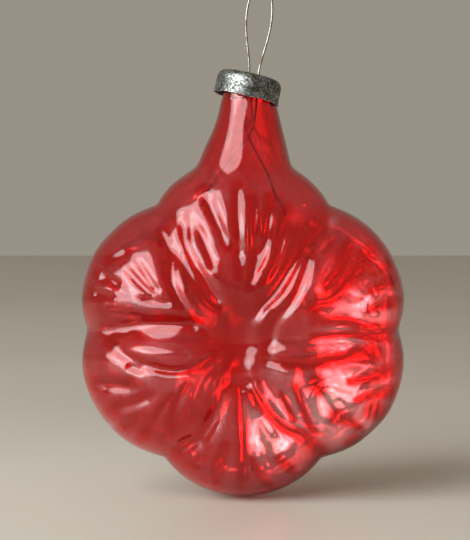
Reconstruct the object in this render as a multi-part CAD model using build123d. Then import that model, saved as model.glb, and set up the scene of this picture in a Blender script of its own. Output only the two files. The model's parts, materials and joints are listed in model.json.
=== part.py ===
from build123d import *
import math
import os

# A mould-blown glass Christmas bauble: a puffed six-petal flower, a pressed tin cap
# and one springy wire whose two legs cross and spread inside the glass.
# Millimetres, +Z up, the decorated front faces -Y.
# The origin is the inside top of the wire loop, where the ornament hangs.
# "height" is measured up from the lowest point of the glass, x from its middle.

# ---- driving dimensions: glass -------------------------------------------------
glass_wall = 0.8
lip_height = 74.15           # cut edge of the neck
neck_radius = 4.6
neck_offset_x = 1.0          # the neck was blown a little off centre
neck_straight_below = 71.5   # above this height the neck is a plain tube
neck_flare = 0.30            # widening per millimetre below the straight part
neck_ease = 5.0              # the flare starts gently over this length
neck_curl = 0.0005           # extra widening, by the square of the distance down
neck_offset_from = 44.0      # the sideways shift grows between these two heights
neck_offset_to = 68.0
base_flat = (3.2, 1.8)       # half-width and half-depth of the flat on the lowest petal
flower_centre = 30.0         # height of the middle of the flower
flower_half_depth = 16.0     # front to back, at the middle
flower_reach_up = 32.0       # how far the flower's puff reaches above its middle
flower_reach_down = 30.3
puff_fullness = 0.55         # 0.5 is an ellipse, less is flatter-faced
stem_taper = 0.3             # how fast the neck deepens, front to back, going down

# petals seen from the front: (centre x, centre height, half-width, half-height)
shoulder_petal = (9.9, 52.6, 5.4, 5.4)
upper_petal = (8.0, 35.6, 20.9, 18.2)
lower_petal = (9.0, 24.3, 19.9, 18.0)
bottom_petal = (0.0, 18.0, 18.0, 18.0)
notch_blend = 1.2            # rounding where two petals meet
valley_angles = (0, 53, 127, 180, 239, 301)
valley_depth = 1.5
valley_width = 3.4
valley_start = 8.0           # a valley reaches its full depth this far from the middle

ring_count = 50              # cross-sections of the lofted skin
ring_points = 60             # points round each cross-section

# ---- driving dimensions: cap ---------------------------------------------------
cap_radius = 5.85
cap_height = 3.8
cap_wall = 0.3
cap_shoulder = 1.4
cap_rim_flare = 0.25
cap_rim_height = 0.6
cap_top_height = 75.8        # centre of the top disc
cap_offset_x = 1.43
cap_tilt_side = 12.8         # degrees, right side down
cap_tilt_back = 4.0          # degrees, front rim up
wire_hole_radius = 1.25

# ---- driving dimensions: wire --------------------------------------------------
wire_radius = 0.2
wire_lean = 5.3              # degrees, the loop's top to the right
wire_offset_x = 1.9          # where its axis passes the top of the cap
strand_half_gap = 0.75       # half the distance between the two strands in the hole
loop_half_width = 2.4        # at the loop's corners, before they are rounded
loop_widest = 9.5            # above the cap
loop_top = 16.2              # above the cap
loop_top_half_width = 1.5
strand_bow = 1.1             # half gap where the strands turn in below the cap
strand_bow_drop = 6.0
crossing_drop = 11.0         # the strands cross this far below the top of the cap
leg_knee = (3.3, 5.3)        # across and down from the crossing
leg_tip = (7.95, 13.55)
layer = 0.28                 # each strand is this far in front of or behind the axis
pivot_gap = 0.12             # free length of wire each side of a leg's bending point
corner_share = 0.45          # how much of the shorter run a rounded corner uses


# ---- wire layout ---------------------------------------------------------------
def along_wire(across, up, y=0.0):
    """A place given along and across the wire's leaning axis, before the origin is set."""
    lean = math.radians(wire_lean)
    x = wire_offset_x + across * math.cos(lean) + up * math.sin(lean)
    height = cap_top_height - across * math.sin(lean) + up * math.cos(lean)
    return Vector(x, y, height)


origin = along_wire(0, loop_top - wire_radius)


def wire_point(across, up, y=0.0):
    return along_wire(across, up, y) - origin


def corner_radii(points):
    """The largest tangent arc that each corner's two runs leave room for."""
    radii = []
    for before, corner, after in zip(points, points[1:], points[2:]):
        run_in = corner - before
        run_out = after - corner
        turn = math.radians(run_in.get_angle(run_out))
        radii.append(corner_share * min(run_in.length, run_out.length) / math.tan(turn / 2))
    return radii


def bent_wire(points):
    path = FilletPolyline(*points, radius=corner_radii(points))
    section = Plane(origin=path @ 0, z_dir=path % 0) * Circle(wire_radius)
    wire = sweep(section, path=path)
    expected = math.pi * wire_radius**2 * path.length
    print("wire length", round(path.length, 2), "volume share", round(wire.volume / expected, 4))
    return wire


def shorten(start, towards, gap):
    return start + (towards - start).normalized() * gap


def hanger_loop():
    """Both strands and the loop above the cap, down to where the strands cross."""
    strand = [
        (strand_bow, -strand_bow_drop, layer),
        (strand_half_gap, 0, 0),
        (loop_half_width, loop_widest, 0),
        (loop_top_half_width, loop_top, 0),
    ]
    right = [wire_point(across, up, -y) for across, up, y in strand]
    left = [wire_point(-across, up, y) for across, up, y in strand]
    right_end = shorten(wire_point(0, -crossing_drop, -layer), right[0], pivot_gap)
    left_end = shorten(wire_point(0, -crossing_drop, layer), left[0], pivot_gap)
    return bent_wire([right_end, *right, *reversed(left), left_end])


def spring_leg(side):
    """One leg, from the crossing to its tip; the left strand becomes the right leg."""
    y = layer * side
    crossing = wire_point(0, -crossing_drop, y)
    knee = wire_point(side * leg_knee[0], -crossing_drop - leg_knee[1], y)
    tip = wire_point(side * leg_tip[0], -crossing_drop - leg_tip[1], y)
    return bent_wire([shorten(crossing, knee, pivot_gap), knee, tip])


# ---- glass ---------------------------------------------------------------------
def smooth_max(a, b, blend):
    overlap = max(blend - abs(a - b), 0) / blend
    return max(a, b) + overlap**2 * blend / 4


def ease(value, start, end):
    share = min(max((value - start) / (end - start), 0), 1)
    return share**2 * (3 - 2 * share)


def petal_reach(petal, height):
    """Half-width that one oval petal gives at a height, or zero above and below it."""
    centre_x, centre_height, wide, tall = petal
    inside = 1 - ((height - centre_height) / tall) ** 2
    return centre_x + wide * math.sqrt(inside) if inside > 0 else 0.0


def neck_reach(height):
    below = max(neck_straight_below - height, 0)
    return neck_radius + neck_flare * below * min(below / neck_ease, 1) + neck_curl * below**2


def half_width(height):
    reach = neck_reach(height) if height > shoulder_petal[1] else 0.0
    for petal in (shoulder_petal, upper_petal, lower_petal, bottom_petal):
        reach = smooth_max(reach, petal_reach(petal, height), notch_blend)
    return max(reach, base_flat[0])


def half_depth(height):
    """Front to back: round at the neck and fullest through the middle of the flower."""
    reach = flower_reach_up if height > flower_centre else flower_reach_down
    inside = max(1 - ((height - flower_centre) / reach) ** 2, 0)
    puff = flower_half_depth * inside**puff_fullness
    stem = neck_radius + stem_taper * max(neck_straight_below - height, 0)
    deep = smooth_max(puff, stem, notch_blend) if height > flower_centre + 10 else puff
    return max(deep, base_flat[1])


def valley_sink(x, height):
    """How far the valleys between the petals sink at a place on the face."""
    up = height - flower_centre
    away = math.hypot(x, up)
    sink = 0.0
    for degrees in valley_angles:
        angle = math.radians(degrees)
        along = x * math.cos(angle) + up * math.sin(angle)
        across = up * math.cos(angle) - x * math.sin(angle)
        if along > 0:
            sink += math.exp(-((across / valley_width) ** 2)) * min(away / valley_start, 1)
    return valley_depth * min(sink, 1)


def ring_wire(height, inset):
    wide = half_width(height) - inset
    deep = half_depth(height) - inset
    middle_x = neck_offset_x * ease(height, neck_offset_from, neck_offset_to)
    petals_here = ease(-height, -58, -50) * ease(height, 0, 6)
    points = []
    for step in range(ring_points):
        angle = 2 * math.pi * step / ring_points
        x = wide * math.cos(angle)
        face = abs(math.sin(angle))
        y = deep * face - valley_sink(x, height) * face**1.5 * petals_here
        points.append(Vector(middle_x + x, math.copysign(y, math.sin(angle)), height) - origin)
    return Wire([Edge.make_spline(points, periodic=True)])


def ring_heights(lowest, highest):
    """Heights spaced evenly along the outline, so the notches get as many rings as the sides."""
    steps = 1200
    fine = [lowest + (highest - lowest) * step / steps for step in range(steps + 1)]
    travelled = [0.0]
    for low, high in zip(fine, fine[1:]):
        travelled.append(travelled[-1] + math.hypot(high - low, half_width(high) - half_width(low)))
    heights = []
    place = 0
    for ring in range(ring_count):
        wanted = travelled[-1] * ring / (ring_count - 1)
        while place < steps and travelled[place] < wanted:
            place += 1
        heights.append(fine[place])
    return heights


def glass_skin(inset, lowest, highest):
    rings = [ring_wire(height, inset) for height in ring_heights(lowest, highest)]
    return Solid.make_loft(rings)


def glass_body():
    """The hollow flower, open at the top of its neck."""
    outside = glass_skin(0.0, 0.0, lip_height)
    inside = glass_skin(glass_wall, glass_wall, lip_height + 1.0)
    return outside - inside


# ---- cap -----------------------------------------------------------------------
def cap_profile(radius, shoulder, top, rim_flare):
    """Half outline of the cup: top disc, rounded shoulder, skirt and flared rim."""
    turn = math.sqrt(0.5)
    side = radius - shoulder
    return [
        (0, top),
        (side, top),
        (side + shoulder * turn, top - shoulder * (1 - turn)),
        (radius, top - shoulder),
        (radius, -cap_height + cap_rim_height),
        (radius + rim_flare, -cap_height),
    ]


def cup(radius, shoulder, top, rim_flare):
    axis_top, side_top, bend, skirt_top, skirt_end, rim = cap_profile(radius, shoulder, top, rim_flare)
    outline = [
        Line(axis_top, side_top),
        ThreePointArc(side_top, bend, skirt_top),
        Line(skirt_top, skirt_end),
        Line(skirt_end, rim),
        Line(rim, (0, -cap_height)),
        Line((0, -cap_height), axis_top),
    ]
    return revolve(Plane.XZ * make_face(Curve() + outline), Axis.Z, 360)


def cap():
    """Pressed tin cup, sitting crooked on the neck, with one round hole for the wire."""
    outside = cup(cap_radius, cap_shoulder, 0, cap_rim_flare)
    inside = cup(cap_radius - cap_wall, cap_shoulder - cap_wall, -cap_wall, cap_rim_flare)
    place = Location(Vector(cap_offset_x, 0, cap_top_height) - origin)
    shell = place * Rotation(-cap_tilt_back, cap_tilt_side, 0) * (outside - inside)
    hole_place = Location(wire_point(0, 0)) * Rotation(0, wire_lean, 0)
    return shell - hole_place * Cylinder(wire_hole_radius, 3)


# ---- build ---------------------------------------------------------------------
def build():
    return {
        "glass_body": glass_body(),
        "cap": cap(),
        "hanger_loop": hanger_loop(),
        "spring_leg_left": spring_leg(-1),
        "spring_leg_right": spring_leg(1),
    }


if __name__ == "__main__":
    os.makedirs("parts", exist_ok=True)
    for name, shape in build().items():
        export_step(shape, f"parts/{name}.step")
    pivot = wire_point(0, -crossing_drop)
    print("crossing", pivot, "hole", wire_point(0, 0), "origin height", origin)
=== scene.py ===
import json
import math

import bpy
import numpy as np
from mathutils import Matrix, Vector


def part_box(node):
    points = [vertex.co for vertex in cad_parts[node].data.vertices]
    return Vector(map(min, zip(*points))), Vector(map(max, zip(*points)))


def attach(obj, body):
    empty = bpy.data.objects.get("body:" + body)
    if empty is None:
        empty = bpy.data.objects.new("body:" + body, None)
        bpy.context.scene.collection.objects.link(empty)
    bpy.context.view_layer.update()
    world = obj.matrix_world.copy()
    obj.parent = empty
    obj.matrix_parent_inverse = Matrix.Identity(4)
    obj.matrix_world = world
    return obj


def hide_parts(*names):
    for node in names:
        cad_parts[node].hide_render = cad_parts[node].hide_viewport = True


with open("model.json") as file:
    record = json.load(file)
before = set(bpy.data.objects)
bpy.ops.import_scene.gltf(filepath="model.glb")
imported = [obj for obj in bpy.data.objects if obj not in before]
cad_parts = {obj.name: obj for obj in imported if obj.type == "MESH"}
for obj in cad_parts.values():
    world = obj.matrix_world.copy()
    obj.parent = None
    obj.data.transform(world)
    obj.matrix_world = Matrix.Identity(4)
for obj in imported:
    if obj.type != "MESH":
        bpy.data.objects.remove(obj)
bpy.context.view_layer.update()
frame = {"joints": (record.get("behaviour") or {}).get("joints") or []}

# An old blown glass Christmas ornament: red lacquered glass flower, crooked tin cap, wire.
# Lengths are millimetres, apart from the camera's distance, the lights and the floor, which
# are metres. "Flower coordinates" are x to the right and z up from the middle of the flower,
# seen from the front.

MM = 0.001
scene = bpy.context.scene

# ---- places taken from the frame ------------------------------------------------
glass_low, glass_high = (Vector(corner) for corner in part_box("glass_body"))
cap_low, cap_high = (Vector(corner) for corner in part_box("cap"))
spin = next(joint for joint in frame["joints"] if joint["name"] == "bauble_spin")

FLOWER_RAISE = 30.0          # middle of the flower above the lowest point of the glass
flower_middle = Vector(((glass_low.x + glass_high.x) / 2, 0, glass_low.z + FLOWER_RAISE * MM))
BASE_Z = -FLOWER_RAISE       # lowest point of the glass, in flower coordinates
LIP_Z = (glass_high.z - flower_middle.z) / MM


# ---- small helpers --------------------------------------------------------------
def smooth(value, start, end):
    """0 before start, 1 after end, and an eased rise between them."""
    share = np.clip((value - start) / (end - start), 0, 1)
    return share * share * (3 - 2 * share)


def soft_max(values, blend):
    """The largest of several arrays, rounded where two of them meet."""
    top = np.max(values, axis=0)
    return top + blend * np.log(sum(np.exp((value - top) / blend) for value in values))


def bell(x, z, middle_x, middle_z, size):
    """1 at a middle, fading to nothing a few sizes away from it."""
    return np.exp(-(((x - middle_x) ** 2 + (z - middle_z) ** 2) / size**2))


def mesh_piece(name, points, faces, material):
    mesh = bpy.data.meshes.new(name)
    mesh.from_pydata(points, [], faces)
    mesh.update()
    mesh.shade_smooth()
    mesh.materials.append(material)
    piece = bpy.data.objects.new(name, mesh)
    scene.collection.objects.link(piece)
    return piece


def point_values(piece, name, values):
    """One number for each vertex, which the materials read."""
    layer = piece.data.attributes.new(name, "FLOAT", "POINT")
    layer.data.foreach_set("value", np.asarray(values, dtype=np.float32).ravel())


# ---- node helpers ---------------------------------------------------------------
class Nodes:
    """Short ways to add and join shader nodes in one material."""

    def __init__(self, name):
        self.material = bpy.data.materials.new(name)
        self.material.use_nodes = True
        self.tree = self.material.node_tree
        self.tree.nodes.clear()
        self.output = self.add("ShaderNodeOutputMaterial")
        self.shader = self.add("ShaderNodeBsdfPrincipled")
        self.join(self.shader.outputs[0], self.output.inputs["Surface"])

    def add(self, kind, **settings):
        node = self.tree.nodes.new(kind)
        for key, value in settings.items():
            setattr(node, key, value)
        return node

    def join(self, source, target):
        self.tree.links.new(source, target)

    def value(self, name):
        """A number that point_values stored for each vertex."""
        return self.add("ShaderNodeAttribute", attribute_name=name).outputs["Fac"]

    def noise(self, scale, detail=4.0, rough=0.55, distortion=0.0):
        node = self.add("ShaderNodeTexNoise")
        node.inputs["Scale"].default_value = scale
        node.inputs["Detail"].default_value = detail
        node.inputs["Roughness"].default_value = rough
        node.inputs["Distortion"].default_value = distortion
        self.join(self.add("ShaderNodeTexCoord").outputs["Object"], node.inputs["Vector"])
        return node.outputs["Fac"]

    def ramp(self, source, stops):
        """Stops are (place, colour) or (place, number) pairs."""
        node = self.add("ShaderNodeValToRGB")
        ramp = node.color_ramp
        while len(ramp.elements) < len(stops):
            ramp.elements.new(0.5)
        for element, (at, colour) in zip(ramp.elements, stops):
            element.position = at
            element.color = (*colour, 1) if isinstance(colour, tuple) else (colour,) * 3 + (1,)
        self.join(source, node.inputs["Fac"])
        return node.outputs["Color"]

    def math(self, kind, *sources):
        node = self.add("ShaderNodeMath", operation=kind)
        for socket, source in zip(node.inputs, sources):
            if isinstance(source, (int, float)):
                socket.default_value = source
            else:
                self.join(source, socket)
        return node.outputs[0]

    def multiply_colours(self, first, second):
        node = self.add("ShaderNodeMix", data_type="RGBA", blend_type="MULTIPLY")
        node.inputs["Factor"].default_value = 1.0
        self.join(first, node.inputs[6])
        self.join(second, node.inputs[7])
        return node.outputs[2]

    def bump(self, height, distance, strength=1.0):
        node = self.add("ShaderNodeBump")
        node.inputs["Distance"].default_value = distance
        node.inputs["Strength"].default_value = strength
        self.join(height, node.inputs["Height"])
        self.join(node.outputs["Normal"], self.shader.inputs["Normal"])

    def set(self, **values):
        """Shader settings by socket name, with _ for a space."""
        for key, value in values.items():
            self.shader.inputs[key.replace("_", " ")].default_value = value


# ---- camera and stage -----------------------------------------------------------
VIEW_WIDTH = 84.6 * MM       # width of the picture at the ornament
VIEW_DISTANCE = 0.36
SENSOR_WIDTH = 36
EYE_HEIGHT = 62.0            # of the camera above the floor
LOOK_HEIGHT = 40.9           # of the middle of the picture above the floor
LOOK_SIDE = -1.44            # of the middle of the picture, right of the flower's middle

# Softboxes of the studio, all aimed at the flower: (name, place, (width, height), watts)
SOFT_LIGHTS = (
    ("window", (-0.45, -0.36, 0.16), (0.80, 0.56), 9.0),
    ("bright_pane", (-0.40, -0.30, 0.10), (0.2, 0.3), 1.1),
)
DAYLIGHT = (0.95, 0.98, 1.0)
WORLD_COLOUR = (0.63, 0.575, 0.48, 1)
WORLD_STRENGTH = 0.5

FLOOR_REACH = 3.0            # to the left, to the right and towards the camera
FLOOR_BACK = 0.85            # its far edge
FLOOR_GAP = 0.0002           # keeps the floor from touching the glass


def make_camera():
    camera = bpy.data.objects.new("camera", bpy.data.cameras.new("camera"))
    scene.collection.objects.link(camera)
    target = Vector((flower_middle.x + LOOK_SIDE * MM, 0, glass_low.z + LOOK_HEIGHT * MM))
    eye = Vector((target.x, -VIEW_DISTANCE, glass_low.z + EYE_HEIGHT * MM))
    camera.location = eye
    camera.rotation_euler = (target - eye).to_track_quat("-Z", "Y").to_euler()
    camera.data.sensor_fit = "HORIZONTAL"
    camera.data.sensor_width = SENSOR_WIDTH
    camera.data.lens = SENSOR_WIDTH * (target - eye).length / VIEW_WIDTH
    camera.data.clip_start = 0.01
    scene.camera = camera


def area_light(name, place, towards, size, power):
    light = bpy.data.lights.new(name, "AREA")
    light.shape = "RECTANGLE"
    light.size, light.size_y = size
    light.energy = power
    light.color = DAYLIGHT
    lamp = bpy.data.objects.new(name, light)
    lamp.location = place
    lamp.rotation_euler = (Vector(towards) - Vector(place)).to_track_quat("-Z", "Z").to_euler()
    scene.collection.objects.link(lamp)


def pale_floor():
    n = Nodes("pale_floor")
    colour = n.ramp(n.noise(9, 3), [(0.3, (0.51, 0.465, 0.40)), (0.7, (0.56, 0.515, 0.445))])
    n.join(colour, n.shader.inputs["Base Color"])
    n.set(Roughness=0.32, Specular_IOR_Level=0.2)
    return n.material


def make_stage():
    z = glass_low.z - FLOOR_GAP
    corners = [
        (-FLOOR_REACH, -FLOOR_REACH, z), (FLOOR_REACH, -FLOOR_REACH, z),
        (FLOOR_REACH, FLOOR_BACK, z), (-FLOOR_REACH, FLOOR_BACK, z),
    ]
    mesh_piece("floor", corners, [(0, 1, 2, 3)], pale_floor())
    world = bpy.data.worlds.new("studio")
    scene.world = world
    world.use_nodes = True
    background = world.node_tree.nodes["Background"]
    background.inputs["Color"].default_value = WORLD_COLOUR
    background.inputs["Strength"].default_value = WORLD_STRENGTH
    for name, place, size, power in SOFT_LIGHTS:
        area_light(name, place, flower_middle, size, power)


# ---- materials ------------------------------------------------------------------
def red_glass():
    """Clear glass under transparent red lacquer, with some old silvering left inside.

    The lacquer is thick in the grooves and thin on the ridges. It is cloudy in places and
    has pinholes. The silvering has flaked unevenly. Some thin and thick places of the lacquer
    are painted light: paler glass where the glow and highlights fall, darker where shade falls.
    """
    n = Nodes("red_lacquered_glass")
    patchy = n.math("MULTIPLY_ADD", n.noise(260, 5), 0.26, -0.13)
    pinholes = n.ramp(n.noise(2400, 2, 0.6), [(0.64, 0.0), (0.72, 0.4)])
    # The lacquer values include painted glow, highlights and shade from the thin and thick places
    amount = n.math("SUBTRACT", n.math("ADD", n.value("lacquer_and_painted_light"), patchy), pinholes)
    tint = n.ramp(amount, [
        (0.0, (0.97, 0.93, 0.92)),
        (0.25, (0.88, 0.40, 0.46)),
        (0.5, (0.86, 0.09, 0.11)),
        (0.72, (0.84, 0.006, 0.006)),
        (1.0, (0.76, 0.0005, 0.0005)),
    ])
    n.join(tint, n.shader.inputs["Base Color"])
    flakes = n.ramp(n.noise(330, 6, 0.65), [(0.35, 0.55), (0.65, 1.0)])
    n.join(n.math("MULTIPLY", n.value("silvering"), flakes), n.shader.inputs["Metallic"])
    n.set(Transmission_Weight=0.97, IOR=1.48)
    haze = n.ramp(n.noise(900, 6, 0.7), [(0.4, 0.06), (0.7, 0.15)])
    n.join(haze, n.shader.inputs["Roughness"])
    return n.material


def tarnished_tin():
    """Grey speckled metal: bright grains are smoother, dark ones are rough and lower."""
    n = Nodes("tarnished_tin")
    grains = n.noise(2600, 4, 0.75)
    patches = n.noise(420, 5, 0.6, distortion=0.6)
    speckle = n.ramp(grains, [
        (0.4, (0.06, 0.06, 0.055)),
        (0.5, (0.21, 0.22, 0.21)),
        (0.6, (0.55, 0.56, 0.55)),
    ])
    stain = n.ramp(patches, [(0.35, (0.35, 0.34, 0.31)), (0.6, (1.0, 1.0, 1.0))])
    n.join(n.multiply_colours(speckle, stain), n.shader.inputs["Base Color"])
    n.join(n.ramp(grains, [(0.4, 0.62), (0.62, 0.34)]), n.shader.inputs["Roughness"])
    n.set(Metallic=1.0)
    n.bump(grains, 0.00005, 0.8)
    return n.material


def old_wire():
    """Dull steel with patches of brown rust."""
    n = Nodes("old_steel_wire")
    rust = n.noise(420, 6, 0.6)
    colour = n.ramp(rust, [
        (0.46, (0.27, 0.26, 0.24)),
        (0.55, (0.19, 0.15, 0.11)),
        (0.64, (0.15, 0.06, 0.025)),
    ])
    n.join(colour, n.shader.inputs["Base Color"])
    n.join(n.ramp(rust, [(0.45, 0.32), (0.7, 0.75)]), n.shader.inputs["Roughness"])
    n.join(n.ramp(rust, [(0.55, 1.0), (0.72, 0.2)]), n.shader.inputs["Metallic"])
    n.bump(n.noise(3000, 4), 0.00002)
    return n.material


# ---- glass shape ----------------------------------------------------------------
WALL = 0.8
PETAL_BLEND = 0.35           # rounding where two petals meet
NECK_BLEND = 0.7             # rounding where the neck meets a petal
NECK_RADIUS = 4.6
NECK_OFFSET = 1.05           # the neck was blown this far right of the flower's middle
NECK_SHIFT = (26.0, 40.0)    # it moves across between these two z
NECK_STRAIGHT_ABOVE = 43.5   # the neck is a plain tube above this z
NECK_FLARE = 0.37            # side to side, for each millimetre down
NECK_DEEPEN = 0.34           # front to back
NECK_EASE = 5.0              # the flare starts gently over about this length
NECK_CORE = 0.3              # what is left of the cone inside the petal
NECK_MERGE = (16.0, 27.0)    # the neck's cone fades away inside the top petal
PETALS = (                   # (x, z, half-width, half-depth, half-height) of each dome
    (8.0, 5.6, 20.9, 15.5, 18.2),
    (-8.0, 5.7, 20.9, 15.5, 18.1),
    (9.0, -5.7, 19.9, 15.3, 18.0),
    (-9.0, -5.6, 19.9, 15.3, 18.0),
    (0.0, -12.0, 18.0, 13.7, 18.0),
    (0.0, 17.0, 16.9, 12.9, 14.0),
)


def neck_reach(z, angle):
    """The neck is a tube that widens into an oval cone and ends inside the top petal."""
    below = np.maximum(NECK_STRAIGHT_ABOVE - z, 0)
    easing = below / (below + NECK_EASE)
    wide = NECK_RADIUS + NECK_FLARE * below * easing
    deep = NECK_RADIUS + NECK_DEEPEN * below * easing
    reach = 1 / np.hypot(np.cos(angle) / wide, np.sin(angle) / deep)
    return np.maximum(reach * smooth(z, *NECK_MERGE), NECK_CORE)


def axis_shift(z):
    """How far right of the flower's middle the glass is centred at a height."""
    return NECK_OFFSET * smooth(z, *NECK_SHIFT)


def skin_reach(z, angle):
    """Distance from the upright axis to the skin, before the small relief, at each z and angle."""
    shift = axis_shift(z)
    along, across = np.cos(angle), np.sin(angle)
    reaches = []
    for x, middle_z, wide, deep, tall in PETALS:
        level = 1 - ((z - middle_z) / tall) ** 2
        a = (along / wide) ** 2 + (across / deep) ** 2
        b = (shift - x) * along / wide**2
        c = ((shift - x) / wide) ** 2 - level
        inside = b * b - a * c
        reaches.append(np.where(inside > 0, (-b + np.sqrt(np.maximum(inside, 0))) / a, 0.0))
    return soft_max([soft_max(reaches, PETAL_BLEND), neck_reach(z, angle)], NECK_BLEND)


# ---- lacquer and silvering --------------------------------------------------------
LACQUER = 0.69               # thickness on plain skin, where 1 is the thickest
GROOVE_LACQUER = 0.34        # more of it in a groove
RIDGE_WEAR = 0.15            # less of it on a ridge
RIDGE_DEPTH = 0.25           # skin that lies closer than this to the plain form is a ridge
EDGE_LACQUER = 0.05          # more of it where the skin turns away to the sides
WORN_THROUGH = 0.5           # less of it in the middle of a worn patch
PATCH_AND_PAINTED_LIGHT_STRENGTH = 1.35         # multiplies the amounts in the table below of thin and thick places, painted light included
BACK_PATCH_AND_PAINTED_LIGHT_SHARE = 0.65         # those places, painted light included, are weaker on the back
BACK_GROOVE_COAT = 0.3       # and so is the lacquer in its grooves
BASE_TIP_LACQUER = 0.6       # at the lowest point of the glass

# Places where the lacquer is thinner, or thicker with a minus: (x, z, radius, how much).
# They are partly painted light. The thin places lie where the glow at the lower right and the
# highlights fall, and paint them as paler glass. The thicker ones are painted shade in the
# sunk middle and on the right side of the neck.
# Here x isn't mirrored on the back, so a thin place in front has a thin place behind it.
LACQUER_AND_PAINTED_LIGHT_PATCHES = (
    (-13.5, -3.0, 5.5, 0.14),
    (17.0, -13.0, 10.0, 0.50),
    (19.0, 0.5, 5.5, 0.36),
    (5.5, -17.5, 5.5, 0.52),
    (6.5, 37.0, 3.0, -0.25),
    (24.0, 4.0, 6.0, 0.2),
    (-19.0, 9.5, 5.0, 0.1),
    (-7.0, 17.0, 5.0, 0.1),
    (4.0, -5.0, 3.0, 0.12),
    (-0.8, 0.5, 4.0, -0.12),
)
# Notches and rubbed places where the lacquer has worn off, mirrored on the back: (x, z, radius)
WORN_PATCHES = (
    (-15.8, 20.6, 2.0),
    (-27.2, 0.6, 2.2),
    (15.9, 20.4, 1.3),
    (28.0, 0.0, 1.2),
    (-24.0, -17.0, 1.0),
)

SILVER = 0.66                # how dense the silvering left inside the back half is
SILVER_EDGE = 1.0            # it starts this far behind the middle of the glass
SILVER_RISE = (5.0, 1.5)     # it is full this far behind, in the flower and in the neck
SILVER_NECK = (20.0, 30.0)   # z between which the first becomes the second
SILVER_MIDDLE = (5.0, 15.0)  # worn away nearer to the flower's middle than this
BARE = 0.9                   # share of it that is gone in the middle of a bare patch
# Where the silvering is gone: (x, z, radius)
BARE_PATCHES = ((-9.0, -8.0, 7.5), (5.0, 20.0, 6.0), (18.0, 19.5, 4.0))

# ---- relief -----------------------------------------------------------------------
GROOVE_SPREAD = 1.35         # the hollow's half-width in groove half-widths
GROOVE_REACH = 3.5           # a groove is worked out this many half-widths away from its line
GROOVE_COAT_SPREAD = 1.1     # half-width of the thick lacquer, in groove half-widths
GROOVE_END_DEPTH = 0.25      # share of the depth at a groove's two ends
GROOVE_END = 0.3             # share of the length over which it reaches its depth
CURVE_STEPS = 5              # pieces of line between two points of a groove

VALLEY_ANGLES = (0.5, 54, 127, 178, 239.5, 301.5)
VALLEY_DEPTH = 0.9
VALLEY_WIDTH = 2.8
VALLEY_START = (1, 9)        # distances from the middle between which a valley deepens
MIDDLE_DEPTH = 1.0
MIDDLE_RADIUS = 5.5
RELIEF_TOP = (26, 31)        # the relief fades out between these two z
LIP_PLAIN = 2.5              # the neck has no unevenness this near its cut edge
INNER_RELIEF = 0.92          # share of the relief that shows on the inner skin
SEAM_HEIGHT = 0.07           # of the mould's parting line
SEAM_WIDTH = 0.3
WOBBLE = 0.10                # slow unevenness of the blown skin
TIP_PLAIN = 4                # the unevenness fades out over this height above the lowest point
FACING = (0.22, 0.68)        # how squarely a place faces front or back, from no relief to all
COATED = (0.05, 0.25)        # the same, for the thick lacquer in the grooves
FLATNESS = 0.62              # spaces the columns evenly round a section that is about this flat
INNER_START = 1.2            # the inner skin starts this many walls above the lowest point
INNER_TIP = 0.05             # and its tip is this far below its first row

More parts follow.
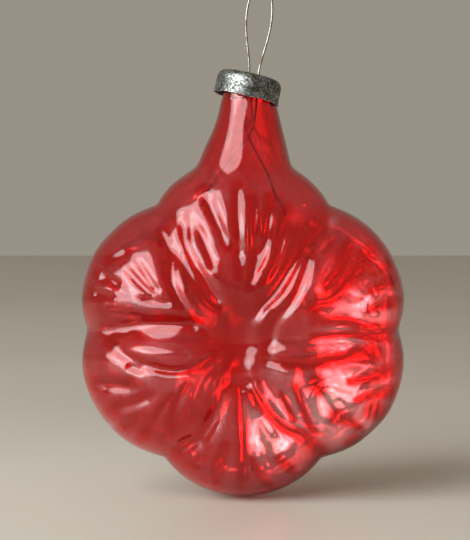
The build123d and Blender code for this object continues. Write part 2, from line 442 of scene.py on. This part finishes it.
# Grooves pressed into the front: ((x, z) points, (start half-width, end half-width), depth).
# Minus depth is a raised rib. The back has the same ones, mirrored.
GROOVES = (
    # valley between upper left petal and top petal, and the two lines beside it
    (((-16.0, 21.0), (-13.2, 15.5), (-12.4, 9.0), (-8.5, 2.5)), (1.3, 0.7), 1.1),
    (((-11.8, 17.5), (-11.0, 14.0), (-6.8, 7.0), (-4.0, 4.5)), (0.7, 0.4), 0.6),
    (((-10.6, 21.0), (-9.8, 16.0), (-5.4, 8.2), (-3.6, 5.5)), (0.9, 0.5), 0.8),
    # top petal
    (((-8.4, 20.0), (-5.4, 13.4), (-4.8, 12.6)), (0.55, 0.75), 0.7),
    (((-6.9, 25.2), (-5.0, 20.8), (-2.7, 15.4)), (1.0, 0.6), 0.8),
    (((-1.2, 26.3), (-0.9, 18.5), (-0.9, 10.8)), (0.9, 0.7), 0.7),
    (((1.5, 24.0), (2.0, 16.0), (1.2, 9.0)), (0.9, 0.6), 0.7),
    (((4.6, 24.0), (3.9, 17.0), (2.4, 11.0)), (0.9, 0.6), 0.7),
    (((7.4, 22.0), (6.0, 15.0), (3.4, 9.5)), (0.9, 0.6), 0.6),
    # valley between top petal and upper right petal
    (((14.5, 20.5), (10.4, 16.4), (5.6, 8.6), (1.0, 3.4)), (1.3, 0.9), 1.1),
    (((11.9, 15.0), (10.6, 10.8), (8.8, 6.8), (5.0, 1.5), (4.3, -3.4)), (0.6, 0.9), 0.6),
    (((22.3, 14.5), (20.5, 12.4), (15.8, 7.2), (12.8, 5.8), (12.4, 3.0)), (1.2, 1.0), 0.9),
    (((18.4, 16.0), (16.4, 11.5), (14.2, 9.0)), (0.9, 0.6), 0.5),
    (((26.2, 12.6), (23.4, 11.0)), (0.9, 0.7), 0.5),
    (((26.7, 9.8), (22.5, 8.0)), (1.0, 0.7), 0.6),
    (((26.2, 5.6), (22.0, 4.6)), (1.0, 0.7), 0.6),
    # valley between upper right and lower right petals
    (((27.6, 0.6), (22.6, 0.8), (18.6, 2.4), (13.8, 2.8)), (1.2, 0.9), 1.0),
    (((26.5, -1.0), (20.0, 0.2), (12.0, 0.2)), (0.6, 0.4), 0.5),
    # lower right petal
    (((23.0, -2.8), (17.4, -3.6), (11.0, -4.4), (4.2, -4.0)), (1.7, 0.8), 1.1),
    (((25.4, -6.6), (21.8, -7.4), (18.6, -7.9)), (1.3, 0.6), 0.8),
    (((27.0, -10.2), (23.4, -10.6), (20.0, -11.2)), (1.2, 0.8), 0.8),
    (((23.8, -13.9), (22.8, -13.7)), (1.6, 1.6), 0.35),
    (((16.3, -14.0), (18.4, -15.2), (21.0, -17.0)), (1.6, 0.6), 0.9),
    (((19.2, -19.7), (20.2, -19.1)), (1.1, 1.1), 0.25),
    (((12.6, -7.8), (13.2, -9.0)), (1.4, 1.2), 0.7),
    (((9.0, -8.5), (10.8, -14.0), (12.4, -17.4)), (0.6, 0.9), 0.5),
    (((6.4, -10.0), (8.8, -15.2)), (0.5, 0.7), 0.4),
    # valley between lower right and bottom petals
    (((13.9, -21.6), (11.0, -18.8), (6.8, -16.2), (2.8, -11.2), (1.3, -8.3)), (1.2, 0.7), 1.1),
    # raised crease along that valley
    (((1.6, -6.8), (3.4, -11.6), (7.2, -16.0), (12.6, -19.6)), (0.45, 0.4), -0.3),
    # bottom petal
    (((-0.8, -9.0), (0.0, -18.0), (-0.3, -27.0)), (0.9, 0.8), 0.8),
    (((1.4, -21.8), (3.2, -25.0), (5.2, -27.6)), (0.7, 0.6), 0.6),
    (((6.2, -21.8), (8.8, -24.3)), (0.8, 0.7), 0.5),
    (((-3.2, -19.0), (-4.4, -24.0), (-4.8, -27.2)), (0.8, 0.7), 0.6),
    (((-6.4, -18.6), (-8.4, -23.4)), (0.9, 0.7), 0.5),
    (((3.4, -13.6), (4.8, -18.4)), (1.0, 1.3), -0.4),
    # valley between bottom and lower left petals
    (((-13.4, -21.9), (-8.6, -19.2), (-5.6, -15.2), (-3.3, -9.5)), (1.2, 0.7), 1.1),
    # lower left petal
    (
        ((-24.2, -0.6), (-21.4, -3.0), (-15.8, -5.0), (-11.6, -5.6), (-7.5, -4.6), (-4.8, -2.6)),
        (0.8, 0.7), 0.9,
    ),
    (((-20.6, -5.0), (-17.2, -6.1)), (0.5, 0.7), 0.6),
    (((-26.5, -9.0), (-22.6, -8.8), (-18.0, -9.2)), (1.0, 1.3), 0.8),
    (((-23.2, -13.2), (-18.7, -11.8), (-15.8, -10.0)), (1.0, 0.6), 0.7),
    (((-18.0, -18.4), (-15.0, -14.0), (-12.4, -10.0)), (0.9, 0.5), 0.6),
    (((-12.4, -17.0), (-12.0, -12.8), (-9.8, -8.2)), (0.9, 0.5), 0.7),
    (((-4.4, -5.6), (-6.6, -9.8), (-8.8, -14.5)), (0.9, 1.3), -0.7),
    (((-21.5, -17.0), (-17.6, -14.0)), (0.8, 0.6), 0.4),
    # the column down the middle, its foot and the ridge beside it
    (((-1.6, 5.0), (-2.0, 0.0), (-1.9, -6.5)), (1.4, 1.2), 0.5),
    (((-3.2, -8.0), (-0.6, -8.4), (1.8, -7.8)), (0.9, 0.8), 0.6),
    (((1.3, -3.4), (1.7, -7.0), (3.2, -11.0)), (0.9, 0.7), -0.2),
    (((4.6, 5.5), (2.6, 1.4)), (0.6, 0.6), -0.4),
    # raised lens under the valley between the left petals
    (((-21.5, -1.8), (-15.0, -2.4), (-8.5, -1.8)), (2.1, 1.5), -0.9),
    # valley between lower left and upper left petals
    (((-26.8, 0.6), (-18.2, 1.9), (-11.0, 2.3), (-5.0, 1.5)), (1.3, 0.9), 1.2),
    # upper left petal
    (((-25.6, 10.5), (-21.4, 8.7)), (0.8, 0.7), 0.6),
    (((-27.0, 7.3), (-22.7, 6.7)), (0.8, 0.7), 0.6),
    (((-24.8, 4.3), (-17.4, 3.4)), (0.9, 0.6), 0.6),
    (((-18.0, 6.8), (-14.8, 6.2), (-12.2, 6.0)), (0.5, 0.7), 0.6),
    (((-21.0, 12.3), (-17.0, 8.4), (-14.8, 7.2)), (0.6, 0.5), 0.6),
    (((-18.8, 13.6), (-16.2, 9.8), (-14.4, 7.8)), (0.5, 0.4), 0.5),
    (((-24.2, 12.8), (-20.0, 14.6)), (0.7, 0.6), 0.4),
)


def smooth_path(points, widths):
    """A rounded line through a groove's points, with its half-width and share of the way at each."""
    corners = np.array([points[0], *points, points[-1]], dtype=float)
    steps = np.linspace(0, 1, CURVE_STEPS, endpoint=False)[:, None]
    line = []
    for a, b, c, d in zip(corners, corners[1:], corners[2:], corners[3:]):
        line.append(b + 0.5 * ((c - a) * steps + (2 * a - 5 * b + 4 * c - d) * steps**2
                               + (3 * b - a - 3 * c + d) * steps**3))
    line = np.concatenate([*line, corners[-1:]])
    share = np.linspace(0, 1, len(line))
    return line, widths[0] + (widths[1] - widths[0]) * share, share


def groove_fields(x, z):
    """The relief in millimetres and how much groove there is, 0 to 1, at flower coordinates."""
    relief = np.zeros_like(x)
    grooved = np.zeros_like(x)
    for points, widths, depth in GROOVES:
        line, width, share = smooth_path(points, widths)
        margin = GROOVE_REACH * max(widths)
        low, high = line.min(axis=0) - margin, line.max(axis=0) + margin
        near = (x > low[0]) & (x < high[0]) & (z > low[1]) & (z < high[1])
        px, pz = x[near], z[near]
        nearest = np.full_like(px, np.inf)
        way = np.zeros_like(px)
        for step in range(len(line) - 1):
            (ax, az), (dx, dz) = line[step], line[step + 1] - line[step]
            along = np.clip(((px - ax) * dx + (pz - az) * dz) / (dx * dx + dz * dz + 1e-9), 0, 1)
            away = np.hypot(px - ax - along * dx, pz - az - along * dz)
            away = away / (width[step] + (width[step + 1] - width[step]) * along)
            closer = away < nearest
            nearest = np.where(closer, away, nearest)
            way = np.where(closer, share[step] + (share[step + 1] - share[step]) * along, way)
        ends = smooth(np.minimum(way, 1 - way), 0, GROOVE_END)
        taper = GROOVE_END_DEPTH + (1 - GROOVE_END_DEPTH) * ends
        relief[near] -= depth * taper * np.exp(-((nearest / GROOVE_SPREAD) ** 2))
        if depth > 0:
            coat = np.exp(-((nearest / GROOVE_COAT_SPREAD) ** 2.4))
            grooved[near] = np.maximum(grooved[near], coat)
    return relief, grooved


def broad_valleys(x, z):
    """The wide dips between the petals and the sunk middle of the flower."""
    dip = MIDDLE_DEPTH * bell(x, z, 0, 0, MIDDLE_RADIUS)
    for degrees in VALLEY_ANGLES:
        angle = math.radians(degrees)
        along = x * math.cos(angle) + z * math.sin(angle)
        across = z * math.cos(angle) - x * math.sin(angle)
        dip += VALLEY_DEPTH * np.exp(-((across / VALLEY_WIDTH) ** 2)) * smooth(along, *VALLEY_START)
    return -dip


def glass_grid(rows, around):
    """Places on the plain skin, a row for each height, evenly spaced along the outline."""
    fine = np.linspace(BASE_Z, LIP_Z, 4000)
    side = skin_reach(fine, 0 * fine)
    front = skin_reach(fine, 0 * fine - math.pi / 2)
    steps = np.hypot(np.diff(fine), np.maximum(abs(np.diff(side)), abs(np.diff(front))))
    travelled = np.concatenate([[0], np.cumsum(steps)])
    heights = np.interp(np.linspace(0, travelled[-1], rows + 1)[1:], travelled, fine)
    angle = np.linspace(0, 2 * math.pi, around, endpoint=False)
    even = np.arctan2(np.sin(angle) * FLATNESS, np.cos(angle))
    z, angle = np.meshgrid(heights, even, indexing="ij")
    reach = skin_reach(z, angle)
    x = axis_shift(z) + reach * np.cos(angle)
    y = reach * np.sin(angle)
    return x, y, z


def grid_normals(x, y, z):
    """Outward directions of the plain skin."""
    points = np.stack([x, y, z], axis=-1)
    around = np.roll(points, -1, axis=1) - np.roll(points, 1, axis=1)
    up = np.gradient(points, axis=0)
    normal = np.cross(around, up)
    return normal / np.linalg.norm(normal, axis=-1, keepdims=True)


def skin_sink(x, y, z, tilt, relief):
    """How far each place of the skin lies off its plain form, plus being outwards."""
    facing = smooth(tilt, *FACING)
    calm = 1 - smooth(z, *RELIEF_TOP)
    valleys = broad_valleys(np.where(y > 0, -x, x), z) * smooth(tilt, 0.0, 0.9)
    seam = SEAM_HEIGHT * np.exp(-((y / SEAM_WIDTH) ** 2))
    wobble = WOBBLE * np.sin(x * 0.43 + z * 0.21) * np.sin(z * 0.37 - y * 0.3)
    uneven = (seam + wobble) * smooth(z, BASE_Z, BASE_Z + TIP_PLAIN)
    sink = (relief * facing + valleys) * calm + uneven
    return np.where(z > LIP_Z - LIP_PLAIN, 0, sink)


def lacquer_with_painted_light(x, y, z, tilt, grooved, sink):
    """From 0, bare glass, to 1, the thickest, at each place of the outer skin, with painted light
    mixed in: thinner where the glow and highlights fall, thicker where shade falls.
    """
    back = y > 0
    flower_x = np.where(back, -x, x)
    facing = smooth(tilt, *FACING)
    calm = 1 - smooth(z, *RELIEF_TOP)
    ridge = np.clip(1 - abs(sink) / RIDGE_DEPTH, 0, 1) * facing * calm
    worn = np.zeros_like(x)
    for patch in WORN_PATCHES:
        worn = np.maximum(worn, bell(flower_x, z, *patch))
    # Painted light: paler glass where the glow and highlights fall, darker glass where shade falls
    thin_and_painted_light = np.zeros_like(x)
    for *patch, amount in LACQUER_AND_PAINTED_LIGHT_PATCHES:
        thin_and_painted_light += amount * bell(x, z, *patch)
    thin_and_painted_light *= np.where(back, BACK_PATCH_AND_PAINTED_LIGHT_SHARE, 1.0)
    groove_coat = grooved * smooth(tilt, *COATED) * calm * np.where(back, BACK_GROOVE_COAT, 1.0)
    lacquer_and_painted_light = LACQUER - (RIDGE_WEAR * ridge + PATCH_AND_PAINTED_LIGHT_STRENGTH * thin_and_painted_light) * (1 - groove_coat)
    lacquer_and_painted_light += GROOVE_LACQUER * groove_coat
    return lacquer_and_painted_light + EDGE_LACQUER * (1 - facing) - WORN_THROUGH * worn


def silvering_left(x, y, z):
    """Silvering at each place of the inner skin."""
    flower_rise, neck_rise = SILVER_RISE
    full = flower_rise + (neck_rise - flower_rise) * smooth(z, *SILVER_NECK)
    silvering = SILVER * smooth(y, SILVER_EDGE, full)
    silvering *= smooth(np.hypot(x, z), *SILVER_MIDDLE)
    for patch in BARE_PATCHES:
        silvering *= 1 - BARE * bell(x, z, *patch)
    return silvering


def grid_faces(first, rows, around, flip):
    """Quads of a tube whose points start at a number; flip turns them inwards."""
    faces = []
    for row in range(rows - 1):
        here = first + row * around + np.arange(around)
        beside = first + row * around + (np.arange(around) + 1) % around
        corners = [beside, here, here + around, beside + around] if flip else [
            here, beside, beside + around, here + around
        ]
        faces += np.stack(corners, axis=1).tolist()
    return faces


def shell_faces(rows, around, inner_rows, inner_around):
    """Faces of the closed shell: two skins, their lower tips and the cut edge of the neck.

    The inner skin has half as many points round it as the outer one.
    """
    outer_count = rows * around
    outer_pole = outer_count + inner_rows * inner_around
    inner_pole = outer_pole + 1
    faces = grid_faces(0, rows, around, flip=False)
    faces += grid_faces(outer_count, inner_rows, inner_around, flip=True)
    for step in range(around):
        faces.append((outer_pole, (step + 1) % around, step))
    for step in range(inner_around):
        faces.append((inner_pole, outer_count + step, outer_count + (step + 1) % inner_around))
    lip_outer = (rows - 1) * around
    lip_inner = outer_count + (inner_rows - 1) * inner_around
    for step in range(inner_around):
        first = lip_outer + 2 * step
        last = lip_outer + (2 * step + 2) % around
        here = lip_inner + step
        after = lip_inner + (step + 1) % inner_around
        faces.append((first, first + 1, here))
        faces.append((first + 1, last, after, here))
    return faces


def make_glass():
    rows, around = ((380, 400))
    x, y, z = glass_grid(rows, around)
    normal = grid_normals(x, y, z)
    tilt = abs(normal[..., 1])
    relief, grooved = groove_fields(np.where(y > 0, -x, x), z)
    sink = skin_sink(x, y, z, tilt, relief)
    skin = np.stack([x, y, z], axis=-1)
    outer = skin + normal * sink[..., None]
    inner = (skin + normal * (sink * INNER_RELIEF - WALL)[..., None])[::2, ::2]
    inner = inner[inner[..., 0, 2] > BASE_Z + WALL * INNER_START]
    inner[-1] = skin[-1, ::2] - normal[-1, ::2] * WALL

    tips = [[0, 0, BASE_Z], [0, 0, inner[0, :, 2].mean() - INNER_TIP]]
    points = np.concatenate([outer.reshape(-1, 3), inner.reshape(-1, 3), tips])
    faces = shell_faces(rows, around, *inner.shape[:2])
    places = (points * MM + np.array(flower_middle)).tolist()
    piece = mesh_piece("glass_flower", places, faces, red_glass())

    # These values paint light as well as lacquer: paler glass where the glow and highlights fall,
    # darker where shade falls
    lacquer_and_painted_light = lacquer_with_painted_light(x, y, z, tilt, grooved, sink).ravel()
    silvering = silvering_left(inner[..., 0], inner[..., 1], inner[..., 2]).ravel()
    no_lacquer = np.zeros_like(silvering)
    no_silvering = np.zeros_like(lacquer_and_painted_light)
    lacquer_and_painted_light = np.concatenate([lacquer_and_painted_light, no_lacquer, [BASE_TIP_LACQUER, 0.0]])
    point_values(piece, "lacquer_and_painted_light", np.clip(lacquer_and_painted_light, 0, 1))
    point_values(piece, "silvering", np.concatenate([no_silvering, silvering, [0.0, 0.0]]))
    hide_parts("glass_body")
    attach(piece, "glass")


# ---- cap ------------------------------------------------------------------------
CAP_TILT_SIDE = 12.8
CAP_TILT_BACK = 4.0
CAP_RADIUS = 5.85
CAP_HEIGHT = 4.3
CAP_WALL = 0.3
CAP_SHOULDER = 1.4
CAP_FLARE = 0.12
CAP_TOP_STEPS = (2.4, 3.4)   # radii of two rings on its top disc
CAP_SKIRT_STEPS = (2.0, 2.8, 3.4)
CAP_ROUND = 144              # points round it
SHOULDER_STEPS = 8
RAG_START = 3.1              # the rim is ragged below this depth
HOLE_RADIUS = 1.25
HOLE_SHIFT = 0.47            # the hole is this far right of the cap's middle


def cap_outline():
    """Half outline of the cup's tin as a loop of (radius, z): outside down, inside up."""
    side = CAP_RADIUS - CAP_SHOULDER
    outside = [(HOLE_RADIUS, 0.0), *((radius, 0.0) for radius in CAP_TOP_STEPS), (side, 0.0)]
    for step in range(1, SHOULDER_STEPS + 1):
        turn = math.pi / 2 * step / SHOULDER_STEPS
        z = -CAP_SHOULDER + CAP_SHOULDER * math.cos(turn)
        outside.append((side + CAP_SHOULDER * math.sin(turn), z))
    outside += [(CAP_RADIUS, -depth) for depth in CAP_SKIRT_STEPS]
    outside += [(CAP_RADIUS + 0.02, -3.8), (CAP_RADIUS + 0.06, -4.05)]
    outside.append((CAP_RADIUS + CAP_FLARE, -CAP_HEIGHT + 0.03))
    under = CAP_WALL * 0.85
    inside = [(radius - CAP_WALL * 0.8, z - (under if z > -1 else 0.0)) for radius, z in outside]
    inside[:3] = [(HOLE_RADIUS, -under), (CAP_TOP_STEPS[0], -under), (CAP_TOP_STEPS[1] - 0.1, -under)]
    return outside + inside[::-1]


def cap_point(angle, radius, z):
    """A place on the cup, with its small dents, off-centre hole and ragged rim."""
    away = min(max((radius - HOLE_RADIUS) / 3, 0), 1)
    x = radius * math.cos(angle) + HOLE_SHIFT * (1 - away)
    y = radius * math.sin(angle)
    dent = 0.06 * math.sin(3 * angle + 1) * away + 0.035 * math.sin(7 * angle + z)
    grow = 1 + dent / 6 * min(-z, 1)
    rag = 0.05 * math.sin(5 * angle) + 0.03 * math.sin(11 * angle + 2)
    return Vector((x * grow, y * grow, z + rag * max(-z - RAG_START, 0)))


def make_cap():
    """Thin pressed cup with a rounded shoulder, sitting crooked on the neck."""
    loop = cap_outline()
    count = len(loop)
    points, faces = [], []
    for step in range(CAP_ROUND):
        angle = 2 * math.pi * step / CAP_ROUND
        points += [cap_point(angle, radius, z) for radius, z in loop]
        here = step * count
        after = (step + 1) % CAP_ROUND * count
        for index in range(count):
            following = (index + 1) % count
            faces.append((here + index, here + following, after + following, after + index))
    tilt = Matrix.Rotation(math.radians(CAP_TILT_SIDE), 4, "Y") @ Matrix.Rotation(
        math.radians(-CAP_TILT_BACK), 4, "X"
    )
    turned = [tilt @ point * MM for point in points]
    middle = Vector([(min(p[i] for p in turned) + max(p[i] for p in turned)) / 2 for i in range(3)])
    place = (cap_low + cap_high) / 2 - middle
    place.z = cap_high.z - max(p.z for p in turned)
    piece = mesh_piece("tin_cap", [tuple(p + place) for p in turned], faces, tarnished_tin())
    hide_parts("cap")
    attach(piece, "cap")


# ---- wire -----------------------------------------------------------------------
WIRE_RADIUS = 0.2
LAYER = 0.28                 # each strand is this far in front of or behind the wire's axis
hole = Vector(spin["pos_m"])
wire_up = Vector(spin["axis"]).normalized()
wire_right = Vector((wire_up.z, 0, -wire_up.x))


def wire_place(across, up, layer):
    """A place given along and across the wire's leaning axis."""
    return hole + wire_right * across * MM + wire_up * up * MM + Vector((0, layer * MM, 0))


def wire_piece(name, route, material):
    """A round wire on a smooth curve that follows the route, as a mesh."""
    curve = bpy.data.curves.new(name, "CURVE")
    curve.dimensions = "3D"
    spline = curve.splines.new("NURBS")
    spline.points.add(len(route) - 1)
    for point, place in zip(spline.points, route):
        point.co = (*place, 1)
    spline.order_u = 4
    spline.use_endpoint_u = True
    spline.resolution_u = 16
    curve.bevel_depth = WIRE_RADIUS * MM
    curve.bevel_resolution = 5
    curve.use_fill_caps = True
    drawn = bpy.data.objects.new(name + "_curve", curve)
    scene.collection.objects.link(drawn)
    mesh = bpy.data.meshes.new_from_object(drawn.evaluated_get(bpy.context.evaluated_depsgraph_get()))
    bpy.data.objects.remove(drawn)
    mesh.name = name
    mesh.materials.clear()
    mesh.materials.append(material)
    mesh.shade_smooth()
    piece = bpy.data.objects.new(name, mesh)
    scene.collection.objects.link(piece)
    return piece


# (across, up, layer) from the crossing to the top of the loop, measured from the cap's hole
STRAND = (
    (0.1, -10.9, 1.0), (0.75, -9.4, 1.0), (1.0, -7.0, 0.9), (0.95, -4.0, 0.5),
    (0.78, -1.0, 0.1), (0.85, 1.5, 0.0), (1.5, 4.6, 0.0), (2.15, 7.8, 0.0),
    (2.35, 10.8, 0.0), (2.05, 13.6, 0.0), (1.35, 15.8, 0.0), (0.5, 16.25, 0.0),
)
# (across, up) from the crossing to the tip of a leg
LEG = ((0.0, -11.0), (1.2, -12.9), (2.9, -15.4), (4.9, -18.8), (6.5, -22.0), (7.95, -24.5))


def make_wire():
    material = old_wire()
    right = [wire_place(across, up, -LAYER * layer) for across, up, layer in STRAND]
    left = [wire_place(-across, up, LAYER * layer) for across, up, layer in STRAND]
    loop = wire_piece("wire_loop", right + left[::-1], material)
    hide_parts("hanger_loop")
    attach(loop, "hanger")
    for side, body in ((-1, "leg_left"), (1, "leg_right")):
        route = [wire_place(side * across, up, LAYER * side) for across, up in LEG]
        leg = wire_piece("wire_" + body, route, material)
        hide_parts("spring_" + body)
        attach(leg, body)


# ---- make it --------------------------------------------------------------------
make_camera()
make_stage()
make_glass()
make_cap()
make_wire()
scene.view_settings.view_transform = "Standard"
scene.cycles.transmission_bounces = 16
scene.cycles.max_bounces = 20
